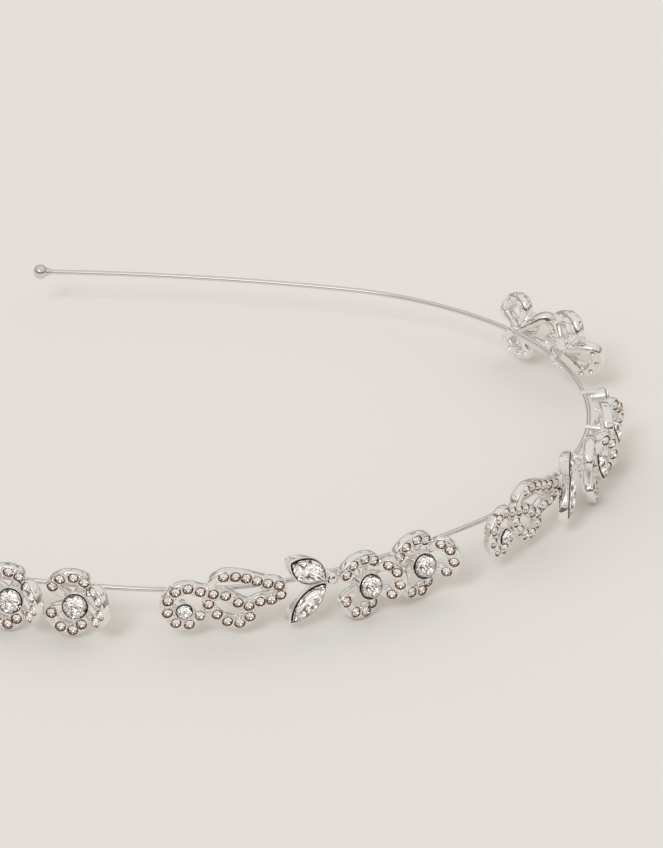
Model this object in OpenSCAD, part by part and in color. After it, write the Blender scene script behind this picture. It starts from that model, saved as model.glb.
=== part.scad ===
/* [Wire band] */
// Thickness of the round wire
wire_d = 1.0; // [0.8:0.1:1.2]
// Thickness of the ball at each end of the wire
ball_d = 3.1; // [2.6:0.1:3.6]
// Height of the wire above the surface that the band lies on
wire_z = 9.5; // [9.5:0.1:11]

/* [Castings] */
// Thickness of the cast metal ribbons
ribbon_t = 2.3; // [2.0:0.1:2.5]
// Width of the ribbon between two seats
ribbon_w = 2.3; // [1.8:0.1:2.4]
// Width of the bare ribbon at a petal's roots
root_w = 1.4; // [1.2:0.1:1.8]
// Gap from the middle of the wire to the back of the castings
casting_back = 1.6; // [1.4:0.1:1.8]
// Thickness of the metal round a stone
rim_t = 0.35; // [0.3:0.05:0.4]
// Gap between a stone and its seat
seat_gap = 0.06; // [0.05:0.01:0.08]

/* [Stones] */
// Width of the small stones
small_d = 1.9; // [1.6:0.1:1.9]
// Width of the round stone in each scroll and of the one set alone
medium_d = 3.2; // [3.0:0.1:3.3]
// Width of the round stone in each flower
large_d = 4.8; // [4.2:0.1:4.8]
// Length of a pointed stone
leaf_len = 10; // [9:0.5:10]
// Width of a pointed stone
leaf_w = 5; // [4.4:0.1:5]

/* [Hidden] */
$fn = 64;

// The wire from its near end: length of each stretch and the angle it turns through.
// Columns: length, turn
bends = [
    [50, 0],
    [36, 45],
    [45, 15.5],
    [40, 32.5],
    [32, 12],
    [30, 24.5],
    [28, 37],
    [32, 38],
    [36, 29],
    [64, 10]
];
wire_len = 393;
wire_start = [-92.0, 18.9];
start_heading = -65.3;

// Flowers. Columns: distance along the wire, turn from the wire's line, height, roll
flowers = [
    [106.3, 0, -1.7, 0],
    [118.8, 0, -1.5, 0],
    [173.6, 4, -2.1, 0],
    [185.8, 0, -1.3, 5],
    [234.8, 18, -1.9, 0],
    [246.8, 16, -1.3, 0],
    [276.6, 5, 1.7, 203],
    [290.6, -5, -0.5, 174]
];
// Scrolls, in the same columns
scrolls = [
    [146.6, 0, -0.5, 0],
    [211.4, 9, -0.4, -4]
];
// Pairs of pointed stones, placed by their meeting point, in the same columns
leaf_pairs = [
    [166.0, 10, 0.1, 0],
    [226.5, 27, 1.8, 0]
];
// The stone set alone, in the same columns
single_place = [260.5, 0, -1.0, 0];

// Petals of a flower: the way each points, where it is hinged and how far it rises there.
// Columns: direction, distance from the middle, rise, angle of each root round the cup
petals = [
    [115, 0, 4, 150, 70],
    [0, 1.8, 42, 40, -28],
    [-105, 0, 10, -80, -150]
];
// Small stones of each petal in the same order, in its own plane. Columns: along the wire, up
petal_seats = [
    [[-4.7, 3.4], [-3.2, 5.2], [-0.6, 5.7], [1.5, 4.8]],
    [[6.2, 3.9], [7.9, 2.5], [8.5, -0.2], [6.9, -2.5]],
    [[0.9, -4.9], [-0.8, -6.2], [-3.2, -5.6], [-5.0, -2.9]]
];
// Radius from which the roots of the petals start
root_r = 1;

// Small stones of a scroll: the long line with its leaf, the curl and the lower drop.
// Columns: along the wire, up
leaf_line = [
    [-9.8, 2.6], [-7.4, 3.1], [-5.0, 2.3], [-2.5, 1.6], [-0.1, 1.0], [2.3, -0.7],
    [4.4, -1.6], [6.6, -0.8], [8.8, -0.6], [10.6, 0.4], [10.3, 2.5], [8.1, 3.1],
    [6.0, 3.8], [3.9, 4.6], [1.8, 5.1], [-0.5, 5.2]
];
curl_line = [[-11.3, 0.7], [-11.4, -1.9], [-9.8, -4.3], [-7.2, -4.8], [-5.0, -3.0]];
drop_line = [[-3.4, -0.6], [-1.8, -3.0], [0.2, -4.7], [2.6, -5.3], [4.6, -4.0]];
scroll_stone_at = [-8.2, -1.6];
// The bare end of the long leaf, bent back to its line
leaf_end = [[-1.0, 5.0], [-2.3, 4.5], [-2.9, 3.2], [-2.5, 2.2]];

// Heights above the wire's middle line, outward
ribbon_front = casting_back + ribbon_t;
small_girdle = ribbon_front - 0.25;
flower_rim = 5.9;
scroll_rim = 4.7;
single_rim = 4.6;
leaf_front = 3.4;
// Rounding of a bare ribbon where it bends
bare_joint_r = root_w / 2 + 0.1;
// The metal round a small stone and the depth of its seat
small_rim_r = small_d / 2 + rim_t;
small_seat_depth = 1.1;
// How far the girdle of a main stone lies below the rim of its cup, and the ledge below it
girdle_drop = 0.25;
ledge_drop = girdle_drop + 0.35;
// How far the cup of a flower's stone is tipped up, about the middle of the stone's girdle
flower_tilt = 18;
flower_girdle = flower_rim - girdle_drop;
// Cups of the round stones: height of the back, radius there, and metal left under the pocket
flower_cup = [0.9, 1.4];
medium_cup = [1.2, 1.2];
cup_floor = 0.8;
// The posts of solder on the wire, and their places along a scroll
post_r = 0.8;
post_back = 0.65;
post_into_casting = 0.9;
scroll_posts = [-2.9, 7.6];
// Collars that close the joints between the stretches of wire
collar_d = wire_d + 0.04;
collar_len = 0.6;
// Boat-shaped cups of the pointed stones: angle to the wire, distance of their points from the
// place where they meet, depth, and radius and centre height of the rounded underside
leaf_arm = 37;
leaf_point_at = 0.9;
leaf_cup_t = 2.4;
leaf_belly_r = 3.2;
leaf_belly_up = 0.6;
// Steps of the hollow under a pointed stone. Columns: depth, share of the stone's outline
leaf_hollow = [[1.1, 0.84], [1.6, 0.56]];
// The bead of metal where two pointed stones meet
leaf_bead_at = 0.9;
leaf_bead_r = 1.3;
leaf_bead_back = 0.6;
leaf_bead_front = 3.8;
// Cuts of the stones. Columns: sides, crown, pavilion, width of the table and of the flat below
small_cut = [8, 0.45, 0.75, 0.55, 0.2];
leaf_cut = [16, 1.1, 1.2, 0.55, 0.3];
// The same for a round stone, with crown and pavilion as shares of its width
round_cut = [16, 0.2, 0.32, 0.58, 0.12];

silver = "#C9CBCF";
crystal = "#E9EFF4";

// The wire's line: place and heading after a stretch, and at any distance
function arc_step(p, r, a) = [
    p[0] + r * (sin(p[2] + a) - sin(p[2])),
    p[1] - r * (cos(p[2] + a) - cos(p[2])),
    p[2] + a
];
function bend_r(b) = b[0] / (b[1] * PI / 180);
function after(p, b, length) =
    b[1] == 0
    ? [p[0] + length * cos(p[2]), p[1] + length * sin(p[2]), p[2]]
    : arc_step(p, bend_r(b), b[1] * length / b[0]);
function bend_start(i) =
    i == 0
    ? [wire_start[0], wire_start[1], start_heading]
    : after(bend_start(i - 1), bends[i - 1], bends[i - 1][0]);
function line_at(s, i = 0) =
    s <= bends[i][0] || i == len(bends) - 1
    ? after(bend_start(i), bends[i], s)
    : line_at(s - bends[i][0], i + 1);

// A casting's own frame: x along the wire, y up, z outward
module on_wire(place) {
    p = line_at(place[0]);
    translate([p[0], p[1], wire_z + place[2]])
        rotate([90, 0, p[2] + place[1]])
            rotate(place[3])
                children();
}
function to_band(place, q) =
    let (p = line_at(place[0]))
    let (u = q[0] * cos(place[3]) - q[1] * sin(place[3]))
    let (v = q[0] * sin(place[3]) + q[1] * cos(place[3]))
    let (h = p[2] + place[1])
    [p[0] + u * cos(h) + q[2] * sin(h), p[1] + u * sin(h) - q[2] * cos(h), wire_z + place[2] + v];

// Outlines of cut stones
function round_outline(d, n) = [for (i = [0:n - 1]) d / 2 * [cos(360 * i / n), sin(360 * i / n)]];
function lens_r(length, width) = (length * length + width * width) / (4 * width);
function lens_outline(length, width, n) =
    let (r = lens_r(length, width))
    let (half = asin(length / 2 / r))
    [for (i = [0:n - 1])
        let (side = i < n / 2 ? 1 : -1)
        let (a = half * (1 - 2 * (i < n / 2 ? i : i - n / 2) / (n / 2)))
        side * [r * sin(a), r * cos(a) - r + width / 2]];

// A cut stone: table, crown facets, girdle and facets down to a small flat
function gem_points(outline, crown, pavilion, table, culet) = concat(
    [for (p = outline) [p[0] * table, p[1] * table, crown]],
    [for (p = outline) [p[0], p[1], 0]],
    [for (p = outline) [p[0] * culet, p[1] * culet, -pavilion]]
);
function gem_faces(n, first) = concat(
    [[for (i = [n - 1:-1:0]) first + i]],
    [for (ring = [0:1], i = [0:n - 1])
        [first + ring * n + i, first + ring * n + (i + 1) % n,
         first + ring * n + n + (i + 1) % n, first + ring * n + n + i]],
    [[for (i = [0:n - 1]) first + 2 * n + i]]
);
module gem(outline, crown, pavilion, cut) {
    polyhedron(gem_points(outline, crown, pavilion, cut[3], cut[4]), gem_faces(cut[0], 0));
}

// One field of small stones, each a closed stone of its own
small_outline = round_outline(small_d, small_cut[0]);
small_shape = gem_points(small_outline, small_cut[1], small_cut[2], small_cut[3], small_cut[4]);
function small_points(at) = [
    for (q = small_shape)
        [at[0] + q[0], at[1] + q[1], small_girdle + q[2]]
];
// A point of a petal, tipped outward at the petal's hinge
function petal_tip(q, petal) =
    let (dir = petal[0])
    let (along = q[0] * cos(dir) + q[1] * sin(dir) - petal[1])
    let (across = q[1] * cos(dir) - q[0] * sin(dir))
    let (lift = q[2] - casting_back)
    let (out = petal[1] + along * cos(petal[2]) - lift * sin(petal[2]))
    [out * cos(dir) - across * sin(dir), out * sin(dir) + across * cos(dir),
     casting_back + along * sin(petal[2]) + lift * cos(petal[2])];
module on_petal(petal) {
    translate([0, 0, casting_back])
        rotate(petal[0]) translate([petal[1], 0, 0]) rotate([0, -petal[2], 0])
            translate([-petal[1], 0, -casting_back]) rotate(-petal[0]) children();
}
function flower_field(place) = [
    for (i = [0:len(petals) - 1], at = petal_seats[i])
        [for (q = small_points(at)) to_band(place, petal_tip(q, petals[i]))]
];
function scroll_field(place) = [
    for (at = scroll_seats)
        [for (q = small_points(at)) to_band(place, q)]
];
module small_field(stones) {
    per_stone = len(small_shape);
    color(crystal)
        polyhedron(
            [for (stone = stones, q = stone) q],
            [for (k = [0:len(stones) - 1], f = gem_faces(small_cut[0], k * per_stone)) f]
        );
}
scroll_seats = concat(leaf_line, curl_line, drop_line);

// The ribbon through a line of seats, as a flat shape
module ribbon(line) {
    for (at = line)
        translate(at) circle(r = small_rim_r);
    for (i = [1:len(line) - 1]) {
        step = line[i] - line[i - 1];
        translate(line[i - 1])
            rotate(atan2(step[1], step[0]))
                translate([0, -ribbon_w / 2]) square([norm(step), ribbon_w]);
    }
}
// A bare ribbon from one point to another
module bare_ribbon(a, b) {
    step = b - a;
    translate(a)
        rotate(atan2(step[1], step[0]))
            translate([0, -root_w / 2]) square([norm(step), root_w]);
}
// A bare ribbon along a line of points
module bare_line(line) {
    for (i = [1:len(line) - 1]) {
        bare_ribbon(line[i - 1], line[i]);
        translate(line[i]) circle(r = bare_joint_r);
    }
}
module seats(line) {
    for (at = line)
        translate([at[0], at[1], ribbon_front - small_seat_depth])
            cylinder(r = small_d / 2 + seat_gap, h = small_seat_depth + 1);
}
// A tapering cup for a round stone of width d, and the pocket cut into it. The row shape
// holds the height of the back and the radius there
module cup(d, rim, shape) {
    translate([0, 0, shape[0]])
        cylinder(r1 = shape[1], r2 = d / 2 + rim_t, h = rim - shape[0]);
}
module cup_pocket(d, rim, shape) {
    seat_r = d / 2 + seat_gap;
    ledge_w = 0.2;
    ledge_z = rim - ledge_drop;
    floor_z = shape[0] + cup_floor;
    translate([0, 0, ledge_z]) cylinder(r = seat_r, h = rim - ledge_z + 1);
    translate([0, 0, floor_z])
        cylinder(r1 = shape[1] / 2, r2 = seat_r - ledge_w, h = ledge_z - floor_z + 0.01);
}
// The post of solder that holds a casting on the wire
module solder_post(s) {
    on_wire([s, 0, 0, 0])
        translate([0, 0, -post_back])
            cylinder(r = post_r, h = post_back + casting_back + post_into_casting);
}

module wire() {
    color(silver) {
        for (i = [0:len(bends) - 1]) {
            p = bend_start(i);
            r = bend_r(bends[i]);
            if (bends[i][1] == 0)
                translate([p[0], p[1], wire_z])
                    rotate([90, 0, p[2] + 90]) cylinder(d = wire_d, h = bends[i][0]);
            else
                translate([p[0] - r * sin(p[2]), p[1] + r * cos(p[2]), wire_z])
                    rotate(p[2] - 90)
                        rotate_extrude(angle = bends[i][1], $fn = 180)
                            translate([r, 0]) circle(d = wire_d, $fn = 32);
        }
        for (i = [1:len(bends) - 1]) {
            p = bend_start(i);
            translate([p[0], p[1], wire_z])
                rotate([90, 0, p[2] + 90]) cylinder(d = collar_d, h = collar_len, center = true);
        }
        for (s = [0, wire_len]) {
            p = line_at(s);
            translate([p[0], p[1], wire_z]) sphere(d = ball_d);
        }
    }
}

// A petal's loop of ribbon as a flat shape, with its two roots at the cup
module petal_loop(line, petal) {
    ribbon(line);
    bare_ribbon(root_r * [cos(petal[3]), sin(petal[3])], line[0]);
    bare_ribbon(root_r * [cos(petal[4]), sin(petal[4])], line[len(line) - 1]);
}
module tip_up() {
    translate([0, 0, flower_girdle]) rotate([-flower_tilt, 0, 0]) translate([0, 0, -flower_girdle])
        children();
}
module flower_casting() {
    difference() {
        union() {
            for (i = [0:len(petals) - 1])
                on_petal(petals[i])
                    translate([0, 0, casting_back])
                        linear_extrude(ribbon_t) petal_loop(petal_seats[i], petals[i]);
            tip_up() cup(large_d, flower_rim, flower_cup);
        }
        for (i = [0:len(petals) - 1])
            on_petal(petals[i]) seats(petal_seats[i]);
        tip_up() cup_pocket(large_d, flower_rim, flower_cup);
    }
}

module scroll_casting() {
    difference() {
        union() {
            translate([0, 0, casting_back])
                linear_extrude(ribbon_t) {
                    ribbon(leaf_line);
                    bare_line(leaf_end);
                    ribbon(concat([leaf_line[0]], curl_line));
                    ribbon(concat([leaf_line[3]], drop_line, [leaf_line[6]]));
                    for (at = [for (i = [1:3]) curl_line[i]])
                        bare_ribbon(scroll_stone_at, at);
                }
            translate(scroll_stone_at) cup(medium_d, scroll_rim, medium_cup);
        }
        seats(scroll_seats);
        translate(scroll_stone_at) cup_pocket(medium_d, scroll_rim, medium_cup);
    }
}

module lens(length, width) {
    r = lens_r(length, width);
    intersection() {
        translate([0, width / 2 - r]) circle(r = r, $fn = 128);
        translate([0, r - width / 2]) circle(r = r, $fn = 128);
    }
}
// The place of a pointed stone: the middle of its girdle plane, level with its cup's rim
module at_leaf(side) {
    rotate(-side * leaf_arm) translate([-leaf_point_at - leaf_len / 2, 0, leaf_front]) children();
}
// The boat-shaped cup of a pointed stone, and the pocket cut into it
module leaf_cup() {
    outer_len = leaf_len + 3 * rim_t;
    outer_w = leaf_w + 2 * rim_t;
    intersection() {
        translate([0, 0, -leaf_cup_t])
            linear_extrude(leaf_cup_t) lens(outer_len, outer_w);
        translate([0, 0, leaf_belly_up])
            rotate([0, 90, 0]) cylinder(r = leaf_belly_r, h = 2 * leaf_len, center = true);
    }
}
module leaf_pocket() {
    translate([0, 0, -ledge_drop])
        linear_extrude(ledge_drop + 1)
            lens(leaf_len + 2 * seat_gap, leaf_w + 2 * seat_gap);
    for (step = leaf_hollow)
        translate([0, 0, -step[0]])
            linear_extrude(step[0]) lens(leaf_len * step[1], leaf_w * step[1]);
}
module leaf_casting() {
    difference() {
        union() {
            for (side = [-1, 1])
                at_leaf(side) leaf_cup();
            translate([leaf_bead_at, 0, leaf_bead_back])
                cylinder(r = leaf_bead_r, h = leaf_bead_front - leaf_bead_back);
        }
        for (side = [-1, 1])
            at_leaf(side) leaf_pocket();
    }
}

module single_casting() {
    difference() {
        cup(medium_d, single_rim, medium_cup);
        cup_pocket(medium_d, single_rim, medium_cup);
    }
}

module band_frame() {
    wire();
    color(silver) {
        for (place = flowers) {
            on_wire(place) flower_casting();
            solder_post(place[0]);
        }
        for (place = scrolls) {
            on_wire(place) scroll_casting();
            for (along = scroll_posts) solder_post(place[0] + along);
        }
        for (place = leaf_pairs) {
            on_wire(place) leaf_casting();
            solder_post(place[0] + leaf_bead_at);
        }
        on_wire(single_place) single_casting();
        solder_post(single_place[0]);
    }
}

module round_stone(place, at, d, rim) {
    color(crystal)
        on_wire(place)
            translate([at[0], at[1], rim - girdle_drop])
                gem(round_outline(d, round_cut[0]), d * round_cut[1], d * round_cut[2], round_cut);
}
module flower_stone(place) {
    color(crystal)
        on_wire(place) tip_up()
            translate([0, 0, flower_girdle])
                gem(
                    round_outline(large_d, round_cut[0]), large_d * round_cut[1],
                    large_d * round_cut[2], round_cut
                );
}
module leaf_stone(i) {
    place = leaf_pairs[floor(i / 2)];
    side = i % 2 == 0 ? -1 : 1;
    color(crystal)
        on_wire(place)
            at_leaf(side)
                translate([0, 0, -girdle_drop])
                    gem(lens_outline(leaf_len, leaf_w, leaf_cut[0]), leaf_cut[1], leaf_cut[2], leaf_cut);
}

// The four groups of castings: two flowers, twice a scroll and two flowers, two flowers
module small_stones(group) {
    first = 2 * group - 2;
    in_flowers = [for (i = [first, first + 1], stone = flower_field(flowers[i])) stone];
    in_scroll = group == 2 || group == 3 ? scroll_field(scrolls[group - 2]) : [];
    small_field(concat(in_scroll, in_flowers));
}

band_frame();
for (i = [1:len(flowers)])
    flower_stone(flowers[i - 1]);
for (i = [1:2 * len(leaf_pairs)])
    leaf_stone(i - 1);
for (i = [1:len(scrolls)])
    round_stone(scrolls[i - 1], scroll_stone_at, medium_d, scroll_rim);
round_stone(single_place, [0, 0], medium_d, single_rim);  // single_stone
for (i = [1:4])
    small_stones(i);
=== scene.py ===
import math
import random

import bpy
import numpy as np
from mathutils import Matrix, Vector


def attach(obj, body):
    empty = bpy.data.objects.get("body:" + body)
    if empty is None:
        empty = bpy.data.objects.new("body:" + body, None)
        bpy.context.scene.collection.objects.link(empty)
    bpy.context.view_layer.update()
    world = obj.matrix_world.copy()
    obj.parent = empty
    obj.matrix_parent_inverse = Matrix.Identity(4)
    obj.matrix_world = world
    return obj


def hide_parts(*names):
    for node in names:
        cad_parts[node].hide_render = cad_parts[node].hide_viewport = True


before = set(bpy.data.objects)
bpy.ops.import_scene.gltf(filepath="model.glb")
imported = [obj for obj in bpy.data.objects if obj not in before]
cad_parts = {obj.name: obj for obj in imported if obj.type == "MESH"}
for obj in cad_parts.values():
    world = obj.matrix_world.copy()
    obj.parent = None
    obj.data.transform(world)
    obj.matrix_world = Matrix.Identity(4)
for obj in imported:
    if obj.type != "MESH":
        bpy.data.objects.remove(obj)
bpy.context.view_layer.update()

# Sizes are in mm and angles in degrees, as in the part's source, and MM turns mm into metres
MM = 0.001

# The wire, from its near end. Columns of its bends: length, turn
WIRE_D = 1.0
BALL_D = 3.1
WIRE_Z = 9.5
BENDS = [
    (50, 0), (36, 45), (45, 15.5), (40, 32.5), (32, 12),
    (30, 24.5), (28, 37), (32, 38), (36, 29), (64, 10),
]
WIRE_LEN = sum(length for length, turn in BENDS)
WIRE_START = (-92.0, 18.9)
START_HEADING = -65.3
WIRE_STEPS = 260
# How far each ball's face lies inside the CAD's
BALL_SLACK = 0.02
# The neck behind each ball. Columns: radius, distance past the ball's own radius
NECK = [(0.95, -0.35), (0.72, 0.15), (0.58, 0.6), (0.5, 1.0)]

# Castings. Columns: distance along the wire, turn from its line, height, roll
FLOWERS = [
    (106.3, 0, -1.7, 0), (118.8, 0, -1.5, 0), (173.6, 4, -2.1, 0), (185.8, 0, -1.3, 5),
    (234.8, 18, -1.9, 0), (246.8, 16, -1.3, 0), (276.6, 5, 1.7, 203), (290.6, -5, -0.5, 174),
]
SCROLLS = [(146.6, 0, -0.5, 0), (211.4, 9, -0.4, -4)]
LEAF_PAIRS = [(166.0, 10, 0.1, 0), (226.5, 27, 1.8, 0)]
SINGLE = (260.5, 0, -1.0, 0)
# Two flowers to a group, with a scroll and a leaf pair in the inner groups
GROUPS = 4

# Petals. Columns: the way each points, hinge distance, rise, angle of each root round the cup
PETALS = [(115, 0, 4, 150, 70), (0, 1.8, 42, 40, -28), (-105, 0, 10, -80, -150)]
PETAL_SEATS = [
    [(-4.7, 3.4), (-3.2, 5.2), (-0.6, 5.7), (1.5, 4.8)],
    [(6.2, 3.9), (7.9, 2.5), (8.5, -0.2), (6.9, -2.5)],
    [(0.9, -4.9), (-0.8, -6.2), (-3.2, -5.6), (-5.0, -2.9)],
]

# The lines of a scroll's seats: its long leaf, its curl and its lower drop
LEAF_LINE = [
    (-9.8, 2.6), (-7.4, 3.1), (-5.0, 2.3), (-2.5, 1.6), (-0.1, 1.0), (2.3, -0.7),
    (4.4, -1.6), (6.6, -0.8), (8.8, -0.6), (10.6, 0.4), (10.3, 2.5), (8.1, 3.1),
    (6.0, 3.8), (3.9, 4.6), (1.8, 5.1), (-0.5, 5.2),
]
CURL_LINE = [(-11.3, 0.7), (-11.4, -1.9), (-9.8, -4.3), (-7.2, -4.8), (-5.0, -3.0)]
DROP_LINE = [(-3.4, -0.6), (-1.8, -3.0), (0.2, -4.7), (2.6, -5.3), (4.6, -4.0)]
# The bare end of the long leaf, which bends back to its line
LEAF_END = [(-2.3, 4.5), (-2.9, 3.2), (-2.5, 2.2)]
SCROLL_STONE = (-8.2, -1.6)
SCROLL_POSTS = (-2.9, 7.6)

# Heights above the wire's middle line, outward
BACK = 1.6
FRONT = 3.9
FLOWER_RIM = 5.9
SCROLL_RIM = 4.7
SINGLE_RIM = 4.6
LEAF_FRONT = 3.4
# How far a stone's girdle and the ledge under it lie below the CAD's rim
GIRDLE_DROP = 0.25
LEDGE_DROP = 0.6

# Ribbons: their widths, where a petal's roots start, and the edges' radii in front and behind
SEAT_W = 2.6
ROOT_W = 1.4
END_W = ROOT_W + 0.3
ROOT_R = 1
FRONT_CORNER = 0.45
BACK_CORNER = 0.95
HALF_FLAT = 0.1
RIBBON_STEP = 0.35

# Beads of metal between the seats: radius, distance from the line, depth below the front, and
# the longest way from seat to seat that has them
GRAIN_R = 0.36
GRAIN_OFF = 0.8
GRAIN_DROP = 0.05
GRAIN_REACH = 3.4

# The metal round a main stone and the gap inside it
RIM_T = 0.35
SEAT_GAP = 0.06
# Cups of round stones. Columns: height of the foot, radius of the foot
FLOWER_CUP = (0.9, 1.4)
MEDIUM_CUP = (1.2, 1.2)
# How far a cup's top lies inside the CAD's, and how much of its flare is straight and how much
# comes towards the rim
CUP_SLACK = 0.04
CUP_FLARE = (0.75, 0.25)
CUP_STEPS = 8
# The height of a pocket's floor above the foot, and the width of its ledge
CUP_FLOOR = 0.8
LEDGE_W = 0.2
# The round bead of each rim: its radius, how far its middle lies below the CAD's rim, and how
# far beyond the stone's full size on the sides and at a point
RIM_R = 0.15
RIM_LOW = 0.5
RIM_OUT = 0.19
RIM_POINT_OUT = 0.25
# How far the cup of a flower's stone is tipped up, about the middle of the stone's girdle
FLOWER_TILT = 18
FLOWER_GIRDLE = FLOWER_RIM - GIRDLE_DROP

# Posts of solder. Columns: share of the radius, height
POST_R = 0.8
POST = [(0.5, -0.65), (0.9, -0.45), (1, 0), (0.8, 0.8), (1, 2.5)]

# Leaves: the angle of each off the wire and the place of its inner point
LEAF_ARM = 37
LEAF_POINT_AT = 0.9
# The boat under a pointed stone: its depth, the radius and height of its belly's round, how far
# its ends and its width stop short, and its least half width and depth
LEAF_CUP_T = 2.4
BELLY_R = 3.2
BELLY_Z = 0.6
BOAT_END = 0.02
BOAT_SLACK = 0.1
BOAT_HALF = 0.03
BOAT_WALL = 0.2
BOAT_STATIONS = 28
BOAT_ROWS = 12
# The round bead where two leaves meet. Columns: share of the radius, height
BEAD_AT = 0.9
BEAD_R = 1.3
BEAD = [(0.7, 0.6), (1, 1.0), (1, 2.9), (0.8, 3.5), (0.3, 3.8)]

# Cutters. A step keeps two rings of a cutter apart, and each cutter runs past the face it opens
STEP = 0.01
PAST = 1
# The groove round a small stone and the ledge that holds its edge. Columns: radius, height
POCKET_R = 1.09
SMALL_POCKET = [
    (0.25, 2.75), (0.6, 3.16), (0.79, 3.4), (POCKET_R, 3.42), (POCKET_R, FRONT + PAST),
]
# The hollow behind each seat. Columns: radius, height above the back
DIMPLE = [(0.66, -0.5), (0.66, 0.05), (0.52, 0.3), (0.3, 0.62)]
# The pocket under a pointed stone. Columns: share of the outline, height
LEAF_POCKET = [(0.3, -1.75), (0.9, -LEDGE_DROP - STEP), (1, -LEDGE_DROP), (1, PAST)]
# Where a casting's faces have the seats' dark colour, a painted shade in the pockets round the
# small stones and in the hollows behind them. Columns: radius, lowest and highest place
SEAT_ZONES = [
    (POCKET_R + 0.005, SMALL_POCKET[0][1] - 0.01, FRONT + 0.05),
    (DIMPLE[-1][0] + 0.02, BACK, BACK + 1),
]

# The melting of a casting: voxel, rounds of smoothing and share of the faces kept, and the angle
# past which an edge stays sharp
VOXEL = 0.11
MELT_ROUNDS = 6
KEEP = 0.3
SINGLE_KEEP = 0.5
SHARP_ANGLE = 38

# Stones
SMALL_D = 1.9
SMALL_GIRDLE = FRONT - 0.25
SMALL_CROWN = 0.45
SMALL_PAVILION = 0.75
MEDIUM_D = 3.2
LARGE_D = 4.8
LEAF_LEN = 10
LEAF_W = 5
LEAF_CROWN = 1.1
LEAF_PAVILION = 1.2
# Shares of a round main stone's diameter
ROUND_CROWN = 0.2
ROUND_PAVILION = 0.32
CUT_SIDES = 8
# Shares of the outline: the flat tables, the star facets' corners and the lower facets' corners
TABLE = 0.58
LEAF_TABLE = 0.42
STAR_OUT = 0.99
LOWER_OUT = 0.56
# Shares of the crown's and of the pavilion's height where those corners lie
STAR_UP = 0.56
LOWER_DOWN = 0.5
GIRDLE_T = 0.1

# How much smaller the main stones and how much larger the small ones are than the CAD's, how
# far the main ones stand out of their seats, and how far the small ones may lean, by dice
ROUND_SLACK = 0.12
LENS_SLACK = 0.2
SMALL_SPREAD = 0.1
STONE_OUT = 0.08
STONE_LEAN = 5
DICE_SEED = 7
# The black edge of a main stone, a painted shadow of the gap between stone and rim: its thickness
# and its lower and upper height
EDGE_T = 0.05
EDGE_LOW = -0.42
EDGE_HIGH = 0.03

# Points on the outlines of the main stones and their rims, and on those of medium rims
OUTLINE_SIDES = 64
MEDIUM_SIDES = 48

# Material numbers of the castings and of the stones
SILVER, SEAT, CRYSTAL, FOIL = range(4)

# The floor, its size in metres, and the light
FLOOR_COLOR = (0.782, 0.752, 0.715)
FLOOR_SIZE = 12
KEY_WAY = Vector((-4, -8.8, 9.5)).normalized()
KEY_SPREAD = 20
KEY_POWER = 0.85
KEY_COLOR = (0.95, 1.0, 1.12)
SKY_POWER = 0.8
# The sky that lights the floor. Columns: height, from 0 below to 1 above, and colour
HORIZON = 0.5
SKY = [
    (HORIZON, (0.86, 0.836, 0.79)), (0.62, (0.93, 0.906, 0.858)), (1.0, (1.09, 1.067, 1.014)),
]
# What the silver mirrors: a pale room with a dark band low in front, a softer one low behind
# and a narrow brown line higher up, which draws the fine lines along the castings
PALE = (0.96, 0.94, 0.92)
HAZE = (0.5, 0.45, 0.42)
DARK = (0.22, 0.16, 0.13)
LINE = (0.2, 0.125, 0.09)
LINE_STEP = 0.012
# Columns of the bands: colour, height of the top, height where the pale wall starts
BACK_BAND = (HAZE, 0.66, 0.72)
BACK_LINE = 0.8
FRONT_BAND = (DARK, 0.63, 0.69)
FRONT_LINE = 0.86
# Where the room's back gives way to its front, along Y
BACK_END = -0.25
FRONT_START = -0.6
# The soft lamp in the room, where the key light stands
BOX_COLOR = (1.3, 1.28, 1.25)
BOX_SPREAD = 11
BOX_FADE = 0.015
# What light sees that has passed into a stone. Columns: share of the patches, colour
SPARKLE_SCALE = 4.2
SPARKLE = [
    (0.0, (0.19, 0.115, 0.065)), (0.14, (0.33, 0.235, 0.155)), (0.24, (0.51, 0.44, 0.37)),
    (0.36, (0.76, 0.71, 0.66)), (0.44, (1.0, 0.975, 0.94)), (0.74, (1.28, 1.26, 1.23)),
    (0.81, (2.4, 2.37, 2.33)), (0.92, (1.5, 1.49, 1.47)), (0.96, (0.78, 0.84, 1.15)),
    (0.968, (0.78, 0.84, 1.15)), (0.98, (1.2, 1.0, 0.82)),
]

# Socket numbers of a node that mixes colours
MIX_SHARE, MIX_FIRST, MIX_SECOND, MIX_RESULT = 0, 6, 7, 2

# The camera, in metres, looking along +Y from 30 degrees above the surface
CAMERA_AT = (0.03474, -1.25829, 0.73798)
CAMERA_TILT = 60
CAMERA_LENS = 309.06
CAMERA_SENSOR = 36
CAMERA_CLIP = (0.1, 20)


def moved(x, y, z):
    return Matrix.Translation((x, y, z))


def turned(angle, axis):
    return Matrix.Rotation(math.radians(angle), 4, axis)


def line_at(s):
    """Place and heading of the wire at a distance from its near end."""
    x, y, heading = *WIRE_START, START_HEADING
    for length, turn in BENDS:
        step = min(s, length) if (length, turn) != BENDS[-1] else s
        a = math.radians(heading)
        if turn == 0:
            x += step * math.cos(a)
            y += step * math.sin(a)
        else:
            r = length / math.radians(turn)
            b = a + step / r
            x += r * (math.sin(b) - math.sin(a))
            y -= r * (math.cos(b) - math.cos(a))
            heading = math.degrees(b)
        s -= step
        if s <= 0:
            break
    return x, y, heading


def on_wire(place):
    """A casting's own frame: x along the wire, y up, z outward."""
    along, turn, height, roll = place
    x, y, heading = line_at(along)
    h = math.radians(heading + turn)
    upright = Matrix(((math.cos(h), 0, math.sin(h)), (math.sin(h), 0, -math.cos(h)), (0, 1, 0)))
    return moved(x, y, WIRE_Z + height) @ upright.to_4x4() @ turned(roll, "Z")


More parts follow.
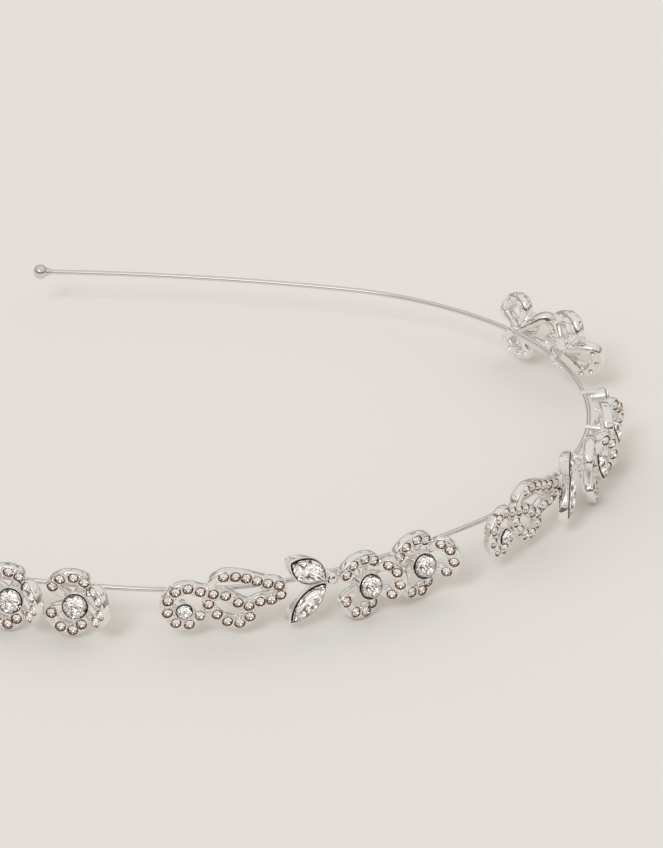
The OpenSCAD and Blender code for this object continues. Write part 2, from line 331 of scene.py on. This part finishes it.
def on_petal(petal):
    """A petal's plane, tipped outward about its hinge."""
    way, hinge, rise = petal[:3]
    turn = turned(way, "Z")
    there, back = moved(hinge, 0, 0), moved(-hinge, 0, -BACK)
    return moved(0, 0, BACK) @ turn @ there @ turned(-rise, "Y") @ back @ turn.inverted()


def tip_up():
    """The tilt of the cup and stone in the middle of a flower."""
    middle = moved(0, 0, FLOWER_GIRDLE)
    return middle @ turned(-FLOWER_TILT, "X") @ middle.inverted()


def at_leaf(side):
    """The middle of a pointed stone's rim, on one side of the wire."""
    return turned(-side * LEAF_ARM, "Z") @ moved(-LEAF_POINT_AT - LEAF_LEN / 2, 0, LEAF_FRONT)


class Shape:
    """Points in mm and faces with their material numbers, gathered from several forms."""

    def __init__(self):
        self.points, self.faces, self.mats, self.smooth = [], [], [], []

    def add_faces(self, faces, mats, smooth):
        """Faces over the points that are added next."""
        first = len(self.points)
        self.faces += [[first + i for i in f] for f in faces]
        self.mats += mats
        self.smooth += [smooth] * len(faces)

    def add_points(self, points, place=None):
        if place is not None:
            points = [place @ Vector(p) for p in points]
        self.points += [tuple(p) for p in points]

    def add(self, form, mat=SILVER, place=None, smooth=True):
        points, faces = form
        self.add_faces(faces, [mat] * len(faces), smooth)
        self.add_points(points, place)

    def add_cast(self, cast, place):
        self.add_faces(cast["faces"], cast["mats"], True)
        turn = np.array(place)
        self.points += (cast["points"] @ turn[:3, :3].T + turn[:3, 3]).tolist()

    def mesh(self, name, scale=MM):
        made = bpy.data.meshes.new(name)
        made.from_pydata((np.array(self.points) * scale).tolist(), [], self.faces)
        made.polygons.foreach_set("material_index", self.mats)
        made.polygons.foreach_set("use_smooth", self.smooth)
        made.update()
        return made


def loft(rings, closed=False):
    """Faces that join rings of equal length, with flat ends unless the row of rings is closed."""
    n = len(rings[0])
    points = [p for ring in rings for p in ring]
    faces = []
    for k in range(len(rings) if closed else len(rings) - 1):
        a, b = k * n, (k + 1) % len(rings) * n
        faces += [[a + i, a + (i + 1) % n, b + (i + 1) % n, b + i] for i in range(n)]
    if not closed:
        faces.append(list(range(n))[::-1])
        faces.append([len(points) - n + i for i in range(n)])
    return points, faces


def circle(r, sides, at=(0, 0)):
    turns = [2 * math.pi * i / sides for i in range(sides)]
    return [(at[0] + r * math.cos(t), at[1] + r * math.sin(t)) for t in turns]


def lathe(profile, sides, at=(0, 0)):
    """A round form upright on a point. Columns of the profile: radius, height"""
    return loft([[(x, y, z) for x, y in circle(r, sides, at)] for r, z in profile])


def ball(at, r, sides):
    """A round bead about a point."""
    slopes = [math.radians(a) for a in range(-84, 85, 12)]
    return lathe([(r * math.cos(t), at[2] + r * math.sin(t)) for t in slopes], sides, at[:2])


def smooth_line(rows):
    """Rows of x, y, width, joined by a smooth curve through all of them."""
    rows = [np.array(r, float) for r in rows]
    rows = [2 * rows[0] - rows[1]] + rows + [2 * rows[-1] - rows[-2]]
    found = []
    for a, b, c, d in zip(rows, rows[1:], rows[2:], rows[3:]):
        times = [0]
        for p, q in ((a, b), (b, c), (c, d)):
            times.append(times[-1] + math.sqrt(np.linalg.norm(q[:2] - p[:2])))
        count = max(2, round(np.linalg.norm(c[:2] - b[:2]) / RIBBON_STEP))
        for k in range(count):
            t = times[1] + (times[2] - times[1]) * k / count
            found.append(curve_point((a, b, c, d), times, t))
    found.append(rows[-2])
    return found


def curve_point(rows, times, t):
    """A point of the curve through four rows, by repeated blends of neighbours."""
    level = list(rows)
    for span in range(1, 4):
        row = []
        for i in range(4 - span):
            low, high = (i, i + span) if span < 3 else (1, 2)
            share = (t - times[low]) / (times[high] - times[low])
            row.append(level[i] * (1 - share) + level[i + 1] * share)
        level = row
    return level[0]


def ribbon(rows):
    """A flat band along rows of x, y, width, with rounded edges, more so behind."""
    line = smooth_line(rows)
    rings = []
    for k, (x, y, width) in enumerate(line):
        way = line[min(k + 1, len(line) - 1)][:2] - line[max(k - 1, 0)][:2]
        tx, ty = way / np.linalg.norm(way)
        ring = []
        for side_u, side_z, first in ((1, 1, 0), (-1, 1, 90), (-1, -1, 180), (1, -1, 270)):
            r = min(FRONT_CORNER if side_z > 0 else BACK_CORNER, width / 2 - HALF_FLAT)
            for a in (0, 30, 60, 90):
                t = math.radians(first + a)
                u = side_u * (width / 2 - r) + r * math.cos(t)
                z = (FRONT - r if side_z > 0 else BACK + r) + r * math.sin(t)
                ring.append((x - u * ty, y + u * tx, z))
        rings.append(ring)
    return loft(rings)


def with_width(line, width=SEAT_W):
    return [(x, y, width) for x, y in line]


def add_grains(shape, line, place=None):
    """Small beads of metal between the seats, on both sides of the line."""
    for (x0, y0), (x1, y1) in zip(line, line[1:]):
        step = math.hypot(x1 - x0, y1 - y0)
        if step > GRAIN_REACH:
            continue
        for off in (-GRAIN_OFF, GRAIN_OFF):
            x = (x0 + x1) / 2 - off * (y1 - y0) / step
            y = (y0 + y1) / 2 + off * (x1 - x0) / step
            shape.add(ball((x, y, FRONT - GRAIN_DROP), GRAIN_R, sides=10), place=place)


def cup(d, rim, foot, at=(0, 0)):
    """A flaring cup for a round stone, still without its pocket."""
    low, foot_r = foot
    top_r = d / 2 + RIM_T - CUP_SLACK
    rows = []
    for k in range(CUP_STEPS + 1):
        share = k / CUP_STEPS
        flare = CUP_FLARE[0] * share + CUP_FLARE[1] * share * share
        rows.append((foot_r + (top_r - foot_r) * flare, low + (rim - RIM_LOW - low) * share))
    return lathe(rows, sides=48, at=at)


def cup_pocket(d, rim, foot, at=(0, 0)):
    """The cutter of a cup: a cone down to its floor, the ledge and the wall round the stone."""
    low, foot_r = foot
    seat, ledge = d / 2 + SEAT_GAP, rim - LEDGE_DROP
    rows = [(foot_r / 2, low + CUP_FLOOR), (seat - LEDGE_W, ledge), (seat, ledge + STEP)]
    return lathe(rows + [(seat, rim + PAST)], sides=48, at=at)


def edge_ways(outline):
    """Each point of a closed outline with the unit way square to the line there."""
    n = len(outline)
    for k, (x, y) in enumerate(outline):
        after, before = outline[(k + 1) % n], outline[k - 1]
        tx, ty = after[0] - before[0], after[1] - before[1]
        size = math.hypot(tx, ty)
        yield x, y, ty / size, -tx / size


def grown(outline, by):
    """A closed outline round the middle, moved outward by a distance."""
    rows = []
    for x, y, nx, ny in edge_ways(outline):
        out = by if x * nx + y * ny > 0 else -by
        rows.append((x + out * nx, y + out * ny))
    return rows


def rim_bead(outline, z):
    """A thin round bead of metal along a closed outline."""
    around = circle(RIM_R, sides=10)
    rings = []
    for x, y, nx, ny in edge_ways(outline):
        rings.append([(x + nx * u, y + ny * u, z + v) for u, v in around])
    return loft(rings, closed=True)


def lens(length, width, n):
    """The pointed outline of two arcs, from its right-hand point round."""
    r = (length * length + width * width) / (4 * width)
    half = math.asin(length / 2 / r)
    rows = []
    for i in range(n):
        side = 1 if i < n / 2 else -1
        a = half * (1 - 2 * (i % (n // 2)) / (n / 2))
        rows.append((side * r * math.sin(a), side * (r * math.cos(a) - r + width / 2)))
    return rows


def boat(length, width, rim):
    """The boat-shaped body under a pointed stone, up to its rim."""
    r = (length * length + width * width) / (4 * width)
    rings = []
    for k in range(BOAT_STATIONS + 1):
        x = (length / 2 - BOAT_END) * -math.cos(math.pi * k / BOAT_STATIONS)
        half = max(BOAT_HALF, math.sqrt(r * r - x * x) - r + width / 2)
        ring = [(x, half, rim)]
        for j in range(BOAT_ROWS + 1):
            y = half * (1 - 2 * j / BOAT_ROWS)
            low = BELLY_Z - math.sqrt(BELLY_R ** 2 - y * y)
            ring.append((x, y, min(rim - BOAT_WALL, max(low, -LEAF_CUP_T))))
        ring.append((x, -half, rim))
        rings.append(ring)
    return loft(rings)


def evaluated(mesh, *steps):
    """The mesh after a row of modifiers, each a type and its settings."""
    thing = bpy.data.objects.new("step", mesh)
    bpy.context.scene.collection.objects.link(thing)
    for kind, settings in steps:
        made = thing.modifiers.new(kind.lower(), kind)
        for key, setting in settings.items():
            setattr(made, key, setting)
    graph = bpy.context.evaluated_depsgraph_get()
    result = bpy.data.meshes.new_from_object(thing.evaluated_get(graph))
    bpy.data.objects.remove(thing)
    return result


def coordinates(items, kind):
    """The points or the middles of a mesh's parts, a row each."""
    found = np.zeros(len(items) * 3, np.float32)
    items.foreach_get(kind, found)
    return found.reshape(-1, 3)


def cast_metal(body, cutters, seats=(), keep=KEEP):
    """Melts the forms of a body into one soft casting, then cuts its pockets."""
    mesh = evaluated(
        body.mesh("body", 1),
        ("REMESH", {"mode": "VOXEL", "voxel_size": VOXEL, "use_smooth_shade": True}),
        ("SMOOTH", {"factor": 0.5, "iterations": MELT_ROUNDS}),
        ("DECIMATE", {"ratio": keep}),
    )
    tool = bpy.data.objects.new("cutters", cutters.mesh("cutters", 1))
    bpy.context.scene.collection.objects.link(tool)
    settings = {"operation": "DIFFERENCE", "object": tool, "solver": "MANIFOLD"}
    cut = evaluated(mesh, ("BOOLEAN", settings))
    bpy.data.objects.remove(tool)
    centres = coordinates(cut.polygons, "center")
    mats = np.full(len(centres), SILVER)
    # Faces in the pockets and in the hollows behind them get the seats' dark colour, a painted
    # shade
    for place in seats:
        turn = np.array(place.inverted())
        local = centres @ turn[:3, :3].T + turn[:3, 3]
        off, up = np.hypot(local[:, 0], local[:, 1]), local[:, 2]
        for radius, lowest, highest in SEAT_ZONES:
            mats[(off < radius) & (up > lowest) & (up < highest)] = SEAT
    return {
        "points": coordinates(cut.vertices, "co").astype(float),
        "faces": [list(p.vertices) for p in cut.polygons],
        "mats": mats.tolist(),
    }


def cut_seats(cutters, seats, line, place=Matrix.Identity(4)):
    """Cutters for the small stones of a line, and the frame of each seat."""
    for x, y in line:
        dimple = [(r, BACK + up) for r, up in DIMPLE]
        cutters.add(lathe(SMALL_POCKET, sides=24, at=(x, y)), place=place)
        cutters.add(lathe(dimple, sides=16, at=(x, y)), place=place)
        seats.append(place @ moved(x, y, 0))


def make_flower():
    """A cup and three petals of ribbon, each with its two roots at the cup."""
    body, cutters, seats = Shape(), Shape(), []
    for petal, line in zip(PETALS, PETAL_SEATS):
        place = on_petal(petal)
        roots = [math.radians(a) for a in petal[3:]]
        ends = [(ROOT_R * math.cos(a), ROOT_R * math.sin(a), ROOT_W) for a in roots]
        body.add(ribbon([ends[0]] + with_width(line) + [ends[1]]), place=place)
        add_grains(body, line, place)
        cut_seats(cutters, seats, line, place)
    body.add(cup(LARGE_D, FLOWER_RIM, FLOWER_CUP), place=tip_up())
    cutters.add(cup_pocket(LARGE_D, FLOWER_RIM, FLOWER_CUP), place=tip_up())
    return cast_metal(body, cutters, seats)


def make_scroll():
    """The long leaf, the curl with its spokes to the cup, and the lower drop."""
    body, cutters, seats = Shape(), Shape(), []
    curl = [LEAF_LINE[0]] + CURL_LINE
    drop = [LEAF_LINE[3]] + DROP_LINE + [LEAF_LINE[6]]
    body.add(ribbon(with_width(LEAF_LINE) + with_width(LEAF_END, END_W)))
    for line in (curl, drop):
        body.add(ribbon(with_width(line)))
    for line in (LEAF_LINE, curl, drop):
        add_grains(body, line)
    for spoke in CURL_LINE[1:4]:
        body.add(ribbon(with_width([SCROLL_STONE, spoke], ROOT_W)))
    body.add(cup(MEDIUM_D, SCROLL_RIM, MEDIUM_CUP, SCROLL_STONE))
    cut_seats(cutters, seats, LEAF_LINE + CURL_LINE + DROP_LINE)
    cutters.add(cup_pocket(MEDIUM_D, SCROLL_RIM, MEDIUM_CUP, SCROLL_STONE))
    return cast_metal(body, cutters, seats)


def make_leaf_pair():
    """Two boats that meet at a bead. Their points reach further out than their sides."""
    body, cutters = Shape(), Shape()
    length, width = LEAF_LEN + 3 * RIM_T - BOAT_SLACK, LEAF_W + 2 * RIM_T - BOAT_SLACK
    outline = lens(LEAF_LEN + 2 * SEAT_GAP, LEAF_W + 2 * SEAT_GAP, 48)
    pocket = loft([[(x * share, y * share, z) for x, y in outline] for share, z in LEAF_POCKET])
    for side in (-1, 1):
        body.add(boat(length, width, -RIM_LOW), place=at_leaf(side))
        cutters.add(pocket, place=at_leaf(side))
    body.add(lathe([(BEAD_R * share, z) for share, z in BEAD], sides=24, at=(BEAD_AT, 0)))
    return cast_metal(body, cutters)


def make_single():
    body, cutters = Shape(), Shape()
    body.add(cup(MEDIUM_D, SINGLE_RIM, MEDIUM_CUP))
    cutters.add(cup_pocket(MEDIUM_D, SINGLE_RIM, MEDIUM_CUP))
    return cast_metal(body, cutters, keep=SINGLE_KEEP)


def cut_stone(outline, crown, pavilion, table=TABLE):
    """A brilliant cut: its points, crown faces, girdle faces and lower faces. outline(t) is
    the girdle's point at the share t of a turn."""
    n = CUT_SIDES

    def ring(share, z, phase, count):
        return [(*(share * np.array(outline((i + phase) / count))), z) for i in range(count)]

    top = ring(table, crown, 0, n)
    star = ring(0.5 * (1 + table) * STAR_OUT, crown * STAR_UP, 0.5, n)
    upper = ring(1, 0, 0, 2 * n)
    lower = ring(1, -GIRDLE_T, 0, 2 * n)
    deep = ring(LOWER_OUT, -GIRDLE_T - (pavilion - GIRDLE_T) * LOWER_DOWN, 0.5, n)
    tip = [(0, 0, -pavilion)]
    points = top + star + upper + lower + deep + tip
    s, u, w, d, t = n, 2 * n, 4 * n, 6 * n, 7 * n
    crown_faces = [list(range(n))]
    girdle_faces, lower_faces = [], []
    for i in range(n):
        j, before = (i + 1) % n, (i - 1) % n
        g, h, k = 2 * i, 2 * i + 1, (2 * i + 2) % (2 * n)
        crown_faces += [
            [i, s + i, j],
            [i, s + before, u + g, s + i],
            [s + i, u + g, u + h],
            [s + i, u + h, u + k],
        ]
        girdle_faces += [[u + g, w + g, w + h, u + h], [u + h, w + h, w + k, u + k]]
        lower_faces += [
            [t, d + i, w + g, d + before],
            [d + i, w + h, w + g],
            [d + i, w + k, w + h],
        ]
    return points, crown_faces, girdle_faces, lower_faces


def round_outline(d):
    return lambda t: (d / 2 * math.cos(2 * math.pi * t), d / 2 * math.sin(2 * math.pi * t))


def lens_outline(length, width):
    n = 2 * CUT_SIDES
    rows = lens(length, width, n)
    return lambda t: rows[round(t * n) % n]


def add_stone(shape, stone, place, girdle=SEAT):
    """A stone that is clear above and foiled below, with the given colour at the girdle; for a
    small stone that is the seats' dark brown, a painted shade of the gap round it.
    """
    points, *kinds = stone
    for mat, faces in zip((CRYSTAL, girdle, FOIL), kinds):
        shape.add_faces(faces, [mat] * len(faces), False)
    shape.add_points(points, place)


def add_edge(shape, outline, place):
    """A black band at the edge of a main stone, a painted shadow of the gap between stone and
    rim, seen where the stone stands out of its rim.
    """
    rings = []
    for (x0, y0), (x1, y1) in zip(outline, grown(outline, EDGE_T)):
        inner = [(x0, y0, EDGE_LOW), (x0, y0, EDGE_HIGH)]
        rings.append(inner + [(x1, y1, EDGE_HIGH - EDGE_T), (x1, y1, EDGE_LOW)])
    shape.add(loft(rings, closed=True), SEAT, place, smooth=False)


def add_small_stones(shape, line, place, dice):
    """The small stones of a line, each with its own slight lean and turn."""
    stone = cut_stone(round_outline(SMALL_D + SMALL_SPREAD), SMALL_CROWN, SMALL_PAVILION)
    for x, y in line:
        lean = turned(dice.uniform(-STONE_LEAN, STONE_LEAN), "X")
        lean @= turned(dice.uniform(-STONE_LEAN, STONE_LEAN), "Y")
        spin = Matrix.Rotation(dice.uniform(0, math.pi), 4, "Z")
        add_stone(shape, stone, place @ moved(x, y, SMALL_GIRDLE) @ lean @ spin)


def add_post(shape, s):
    """A post of solder at a distance along the wire."""
    rows = [(POST_R * share, z) for share, z in POST]
    shape.add(lathe(rows, sides=20), place=on_wire((s, 0, 0, 0)))


def opaque(color):
    return (*color, 1)


def principled(name, color, **settings):
    made = bpy.data.materials.new(name)
    made.use_nodes = True
    shader = made.node_tree.nodes["Principled BSDF"]
    shader.inputs["Base Color"].default_value = opaque(color)
    for key, number in settings.items():
        shader.inputs[key.replace("_", " ")].default_value = number
    return made


def add_soft_bumps(material, size, height):
    """The faint waves of a polished casting."""
    nodes, links = material.node_tree.nodes, material.node_tree.links
    place = nodes.new("ShaderNodeTexCoord")
    noise = nodes.new("ShaderNodeTexNoise")
    noise.inputs["Scale"].default_value = 1 / size
    noise.inputs["Detail"].default_value = 1
    bump = nodes.new("ShaderNodeBump")
    bump.inputs["Distance"].default_value = height
    links.new(place.outputs["Object"], noise.inputs["Vector"])
    links.new(noise.outputs["Fac"], bump.inputs["Height"])
    links.new(bump.outputs["Normal"], nodes["Principled BSDF"].inputs["Normal"])


silver = principled("silver_plate", (0.92, 0.907, 0.893), Metallic=1.0, Roughness=0.09)
add_soft_bumps(silver, size=1.2 * MM, height=0.09 * MM)
wire_silver = principled("wire_silver", (0.77, 0.74, 0.738), Metallic=1.0, Roughness=0.07)
# Dark brown, a painted shade for the gaps round the small stones and for the hollows behind the
# seats
painted_seat_shade = principled(
    "seat_shadow", (0.37, 0.155, 0.048), Roughness=0.5, Specular_IOR_Level=0.2,
)
# Near black, a painted shadow of the gap between a main stone and its rim
painted_gap_shade = principled("painted_gap_shade", (0.018, 0.011, 0.008), Roughness=0.5, Specular_IOR_Level=0.2)
crystal = principled(
    "crystal", (1.0, 0.997, 0.992), Roughness=0.0, IOR=1.55, Transmission_Weight=1.0,
)
foil = principled("foil", (0.92, 0.912, 0.9), Metallic=1.0, Roughness=0.04)


def finish_piece(name, shape, nodes, materials):
    """Turns a shape into a piece that stands for nodes of the CAD."""
    mesh = shape.mesh(name)
    for material in materials:
        mesh.materials.append(material)
    mesh.set_sharp_from_angle(angle=math.radians(SHARP_ANGLE))
    made = bpy.data.objects.new(name, mesh)
    bpy.context.scene.collection.objects.link(made)
    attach(made, "root")
    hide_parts(*nodes)


def build_wire():
    """The wire with its two balls and their necks."""
    shape = Shape()
    around = circle(WIRE_D / 2, sides=20)
    rings = []
    for k in range(WIRE_STEPS + 1):
        x, y, heading = line_at(WIRE_LEN * k / WIRE_STEPS)
        h = math.radians(heading)
        rings.append([(x + u * math.sin(h), y - u * math.cos(h), WIRE_Z + v) for u, v in around])
    shape.add(loft(rings))
    for s, side in ((0, 1), (WIRE_LEN, -1)):
        x, y, heading = line_at(s)
        shape.add(ball((x, y, WIRE_Z), BALL_D / 2 - BALL_SLACK, sides=40))
        h = math.radians(heading)
        inward = Vector((math.cos(h), math.sin(h), 0)) * side
        place = moved(x, y, WIRE_Z) @ inward.to_track_quat("Z", "Y").to_matrix().to_4x4()
        neck = [(r, BALL_D / 2 + past) for r, past in NECK]
        shape.add(lathe(neck, sides=24), place=place)
    finish_piece("band_wire", shape, ["band_frame"], [wire_silver])


def add_round_rim(shape, d, sides, rim, place, at=(0, 0)):
    shape.add(rim_bead(circle(d / 2 + RIM_OUT, sides, at), rim - RIM_LOW), place=place)


def add_flower(shape, flower, place, dice):
    at = on_wire(place)
    shape.add_cast(flower, at)
    add_round_rim(shape, LARGE_D, OUTLINE_SIDES, FLOWER_RIM, at @ tip_up())
    for petal, line in zip(PETALS, PETAL_SEATS):
        add_small_stones(shape, line, at @ on_petal(petal), dice)
    add_post(shape, place[0])


def add_scroll(shape, scroll, place, dice):
    at = on_wire(place)
    shape.add_cast(scroll, at)
    add_round_rim(shape, MEDIUM_D, MEDIUM_SIDES, SCROLL_RIM, at, SCROLL_STONE)
    add_small_stones(shape, LEAF_LINE + CURL_LINE + DROP_LINE, at, dice)
    for along in SCROLL_POSTS:
        add_post(shape, place[0] + along)


def add_leaf_pair(shape, leaf_pair, place):
    at = on_wire(place)
    shape.add_cast(leaf_pair, at)
    outline = lens(LEAF_LEN + 2 * RIM_POINT_OUT, LEAF_W + 2 * RIM_OUT, OUTLINE_SIDES)
    for side in (-1, 1):
        shape.add(rim_bead(outline, -RIM_LOW), place=at @ at_leaf(side))
    add_post(shape, place[0] + BEAD_AT)


def add_single(shape, single):
    at = on_wire(SINGLE)
    shape.add_cast(single, at)
    add_round_rim(shape, MEDIUM_D, MEDIUM_SIDES, SINGLE_RIM, at)
    add_post(shape, SINGLE[0])


def build_groups():
    """The castings and their small stones, in the groups of the CAD's small stones."""
    flower, scroll, leaf_pair = make_flower(), make_scroll(), make_leaf_pair()
    single = make_single()
    dice = random.Random(DICE_SEED)
    for group in range(GROUPS):
        shape = Shape()
        for place in FLOWERS[2 * group:2 * group + 2]:
            add_flower(shape, flower, place, dice)
        if 0 < group < GROUPS - 1:
            add_scroll(shape, scroll, SCROLLS[group - 1], dice)
            add_leaf_pair(shape, leaf_pair, LEAF_PAIRS[group - 1])
        if group == GROUPS - 1:
            add_single(shape, single)
        nodes = ["band_frame", f"small_stones_{group + 1}"]
        materials = [silver, painted_seat_shade, crystal, foil]
        finish_piece(f"castings_{group + 1}", shape, nodes, materials)


def build_stone(name, node, stone, outline, place):
    """A main stone with its black edge, a painted shadow of the gap round it. The place is the
    middle of its girdle.
    """
    shape = Shape()
    place = place @ moved(0, 0, STONE_OUT)
    add_edge(shape, outline, place)
    add_stone(shape, stone, place, FOIL)
    # There is no silver here, and the black painted gap shadow has the number of the seats'
    # colour
    shape.mats = [m - SEAT for m in shape.mats]
    finish_piece(name, shape, [node], [painted_gap_shade, crystal, foil])


def round_stone(d):
    """A round main stone and the outline of its edge, a little smaller than the CAD's."""
    d -= ROUND_SLACK
    stone = cut_stone(round_outline(d), d * ROUND_CROWN, d * ROUND_PAVILION)
    return stone, circle(d / 2, OUTLINE_SIDES)


def pointed_stone():
    size = (LEAF_LEN - 2 * LENS_SLACK, LEAF_W - LENS_SLACK)
    stone = cut_stone(lens_outline(*size), LEAF_CROWN, LEAF_PAVILION, LEAF_TABLE)
    return stone, lens(*size, OUTLINE_SIDES)


def build_main_stones():
    large, medium, pointed = round_stone(LARGE_D), round_stone(MEDIUM_D), pointed_stone()
    for i, place in enumerate(FLOWERS, 1):
        at = on_wire(place) @ tip_up() @ moved(0, 0, FLOWER_GIRDLE)
        build_stone(f"flower_crystal_{i}", f"flower_stone_{i}", *large, at)
    for i, place in enumerate(SCROLLS, 1):
        at = on_wire(place) @ moved(*SCROLL_STONE, SCROLL_RIM - GIRDLE_DROP)
        build_stone(f"scroll_crystal_{i}", f"scroll_stone_{i}", *medium, at)
    at = on_wire(SINGLE) @ moved(0, 0, SINGLE_RIM - GIRDLE_DROP)
    build_stone("single_crystal", "single_stone", *medium, at)
    sides = [(place, side) for place in LEAF_PAIRS for side in (-1, 1)]
    for i, (place, side) in enumerate(sides, 1):
        at = on_wire(place) @ at_leaf(side) @ moved(0, 0, -GIRDLE_DROP)
        build_stone(f"leaf_crystal_{i}", f"leaf_stone_{i}", *pointed, at)


def build_floor():
    bpy.ops.mesh.primitive_plane_add(size=FLOOR_SIZE, location=(0, 0, 0))
    floor = bpy.context.object
    floor.name = "floor"
    look = principled("floor", FLOOR_COLOR, Roughness=0.9, Specular_IOR_Level=0.1)
    floor.data.materials.append(look)
    floor.visible_transmission = False


def room_stops(band, line):
    """A room's colours by height: its band up to the pale walls, and its narrow line."""
    color, top, fade = band
    near = [(line - LINE_STEP, PALE), (line, LINE)]
    far = [(line + LINE_STEP, LINE), (line + 2 * LINE_STEP, PALE)]
    return [(HORIZON, color), (top, color), (fade, PALE), *near, *far, (1.0, PALE)]


def build_world():
    """A pale sky lights the surface, the silver mirrors a room with dark bands and lines, and
    light that has passed into a stone sees a room of bright and dark patches."""
    world = bpy.data.worlds.new("room")
    bpy.context.scene.world = world
    world.use_nodes = True
    nodes, links = world.node_tree.nodes, world.node_tree.links
    way = nodes.new("ShaderNodeTexCoord").outputs["Generated"]
    split = nodes.new("ShaderNodeSeparateXYZ")
    links.new(way, split.inputs["Vector"])
    path = nodes.new("ShaderNodeLightPath")

    def ramp(source, stops):
        made = nodes.new("ShaderNodeValToRGB")
        made.color_ramp.interpolation = "EASE"
        while len(made.color_ramp.elements) < len(stops):
            made.color_ramp.elements.new(0.5)
        for element, (at, color) in zip(made.color_ramp.elements, stops):
            element.position = at
            element.color = opaque(color)
        links.new(source, made.inputs["Fac"])
        return made.outputs["Color"]

    def remap(source, low, high):
        made = nodes.new("ShaderNodeMapRange")
        made.inputs["From Min"].default_value = low
        made.inputs["From Max"].default_value = high
        links.new(source, made.inputs["Value"])
        return made.outputs["Result"]

    def mix(a, b, share=None, blend="MIX"):
        """The second colour laid over the first, by a share or in full."""
        made = nodes.new("ShaderNodeMix")
        made.data_type = "RGBA"
        made.blend_type = blend
        made.inputs[MIX_SHARE].default_value = 1
        if share is not None:
            links.new(share, made.inputs[MIX_SHARE])
        links.new(a, made.inputs[MIX_FIRST])
        links.new(b, made.inputs[MIX_SECOND])
        return made.outputs[MIX_RESULT]

    height = remap(split.outputs["Z"], -1, 1)
    back = ramp(height, room_stops(BACK_BAND, BACK_LINE))
    front = ramp(height, room_stops(FRONT_BAND, FRONT_LINE))
    room = mix(back, front, remap(split.outputs["Y"], BACK_END, FRONT_START))
    # The soft lamp, added to the room
    facing = nodes.new("ShaderNodeVectorMath")
    facing.operation = "DOT_PRODUCT"
    facing.inputs[1].default_value = KEY_WAY
    links.new(way, facing.inputs[0])
    edge = math.cos(math.radians(BOX_SPREAD))
    inside = remap(facing.outputs["Value"], edge - BOX_FADE, edge)
    lamp = ramp(inside, [(0.0, (0, 0, 0)), (1.0, BOX_COLOR)])
    lit = mix(room, lamp, blend="ADD")
    # The patches that the facets of a stone see from inside
    cells = nodes.new("ShaderNodeTexVoronoi")
    cells.inputs["Scale"].default_value = SPARKLE_SCALE
    links.new(way, cells.inputs["Vector"])
    pick = nodes.new("ShaderNodeSeparateColor")
    links.new(cells.outputs["Color"], pick.inputs["Color"])
    through = nodes.new("ShaderNodeMath")
    through.operation = "GREATER_THAN"
    through.inputs[1].default_value = 0.5
    links.new(path.outputs["Transmission Depth"], through.inputs[0])
    seen = mix(lit, ramp(pick.outputs["Red"], SPARKLE), through.outputs[0])
    # The plain sky in place of all that, for light that falls on rough surfaces
    background = nodes["Background"]
    background.inputs["Strength"].default_value = SKY_POWER
    shown = mix(seen, ramp(height, SKY), path.outputs["Is Diffuse Ray"])
    links.new(shown, background.inputs["Color"])


def build_key():
    """The key light. The silver doesn't mirror it, but the room's soft lamp in its place."""
    lamp = bpy.data.lights.new("key", "SUN")
    lamp.angle = math.radians(KEY_SPREAD)
    lamp.energy = KEY_POWER
    lamp.color = KEY_COLOR
    thing = bpy.data.objects.new("key", lamp)
    bpy.context.scene.collection.objects.link(thing)
    thing.visible_glossy = False
    thing.rotation_mode = "QUATERNION"
    thing.rotation_quaternion = KEY_WAY.to_track_quat("Z", "Y")


def build_camera():
    """The photo's view, through a long lens."""
    lens_data = bpy.data.cameras.new("camera")
    lens_data.lens = CAMERA_LENS
    lens_data.sensor_width = CAMERA_SENSOR
    lens_data.clip_start, lens_data.clip_end = CAMERA_CLIP
    thing = bpy.data.objects.new("camera", lens_data)
    bpy.context.scene.collection.objects.link(thing)
    thing.location = CAMERA_AT
    thing.rotation_euler = (math.radians(CAMERA_TILT), 0, 0)
    bpy.context.scene.camera = thing


build_wire()
build_groups()
build_main_stones()
build_floor()
build_world()
build_key()
build_camera()
scene = bpy.context.scene
scene.view_settings.view_transform = "Standard"
scene.cycles.use_denoising = True
scene.cycles.max_bounces = 16
scene.cycles.transmission_bounces = 14
scene.cycles.glossy_bounces = 8
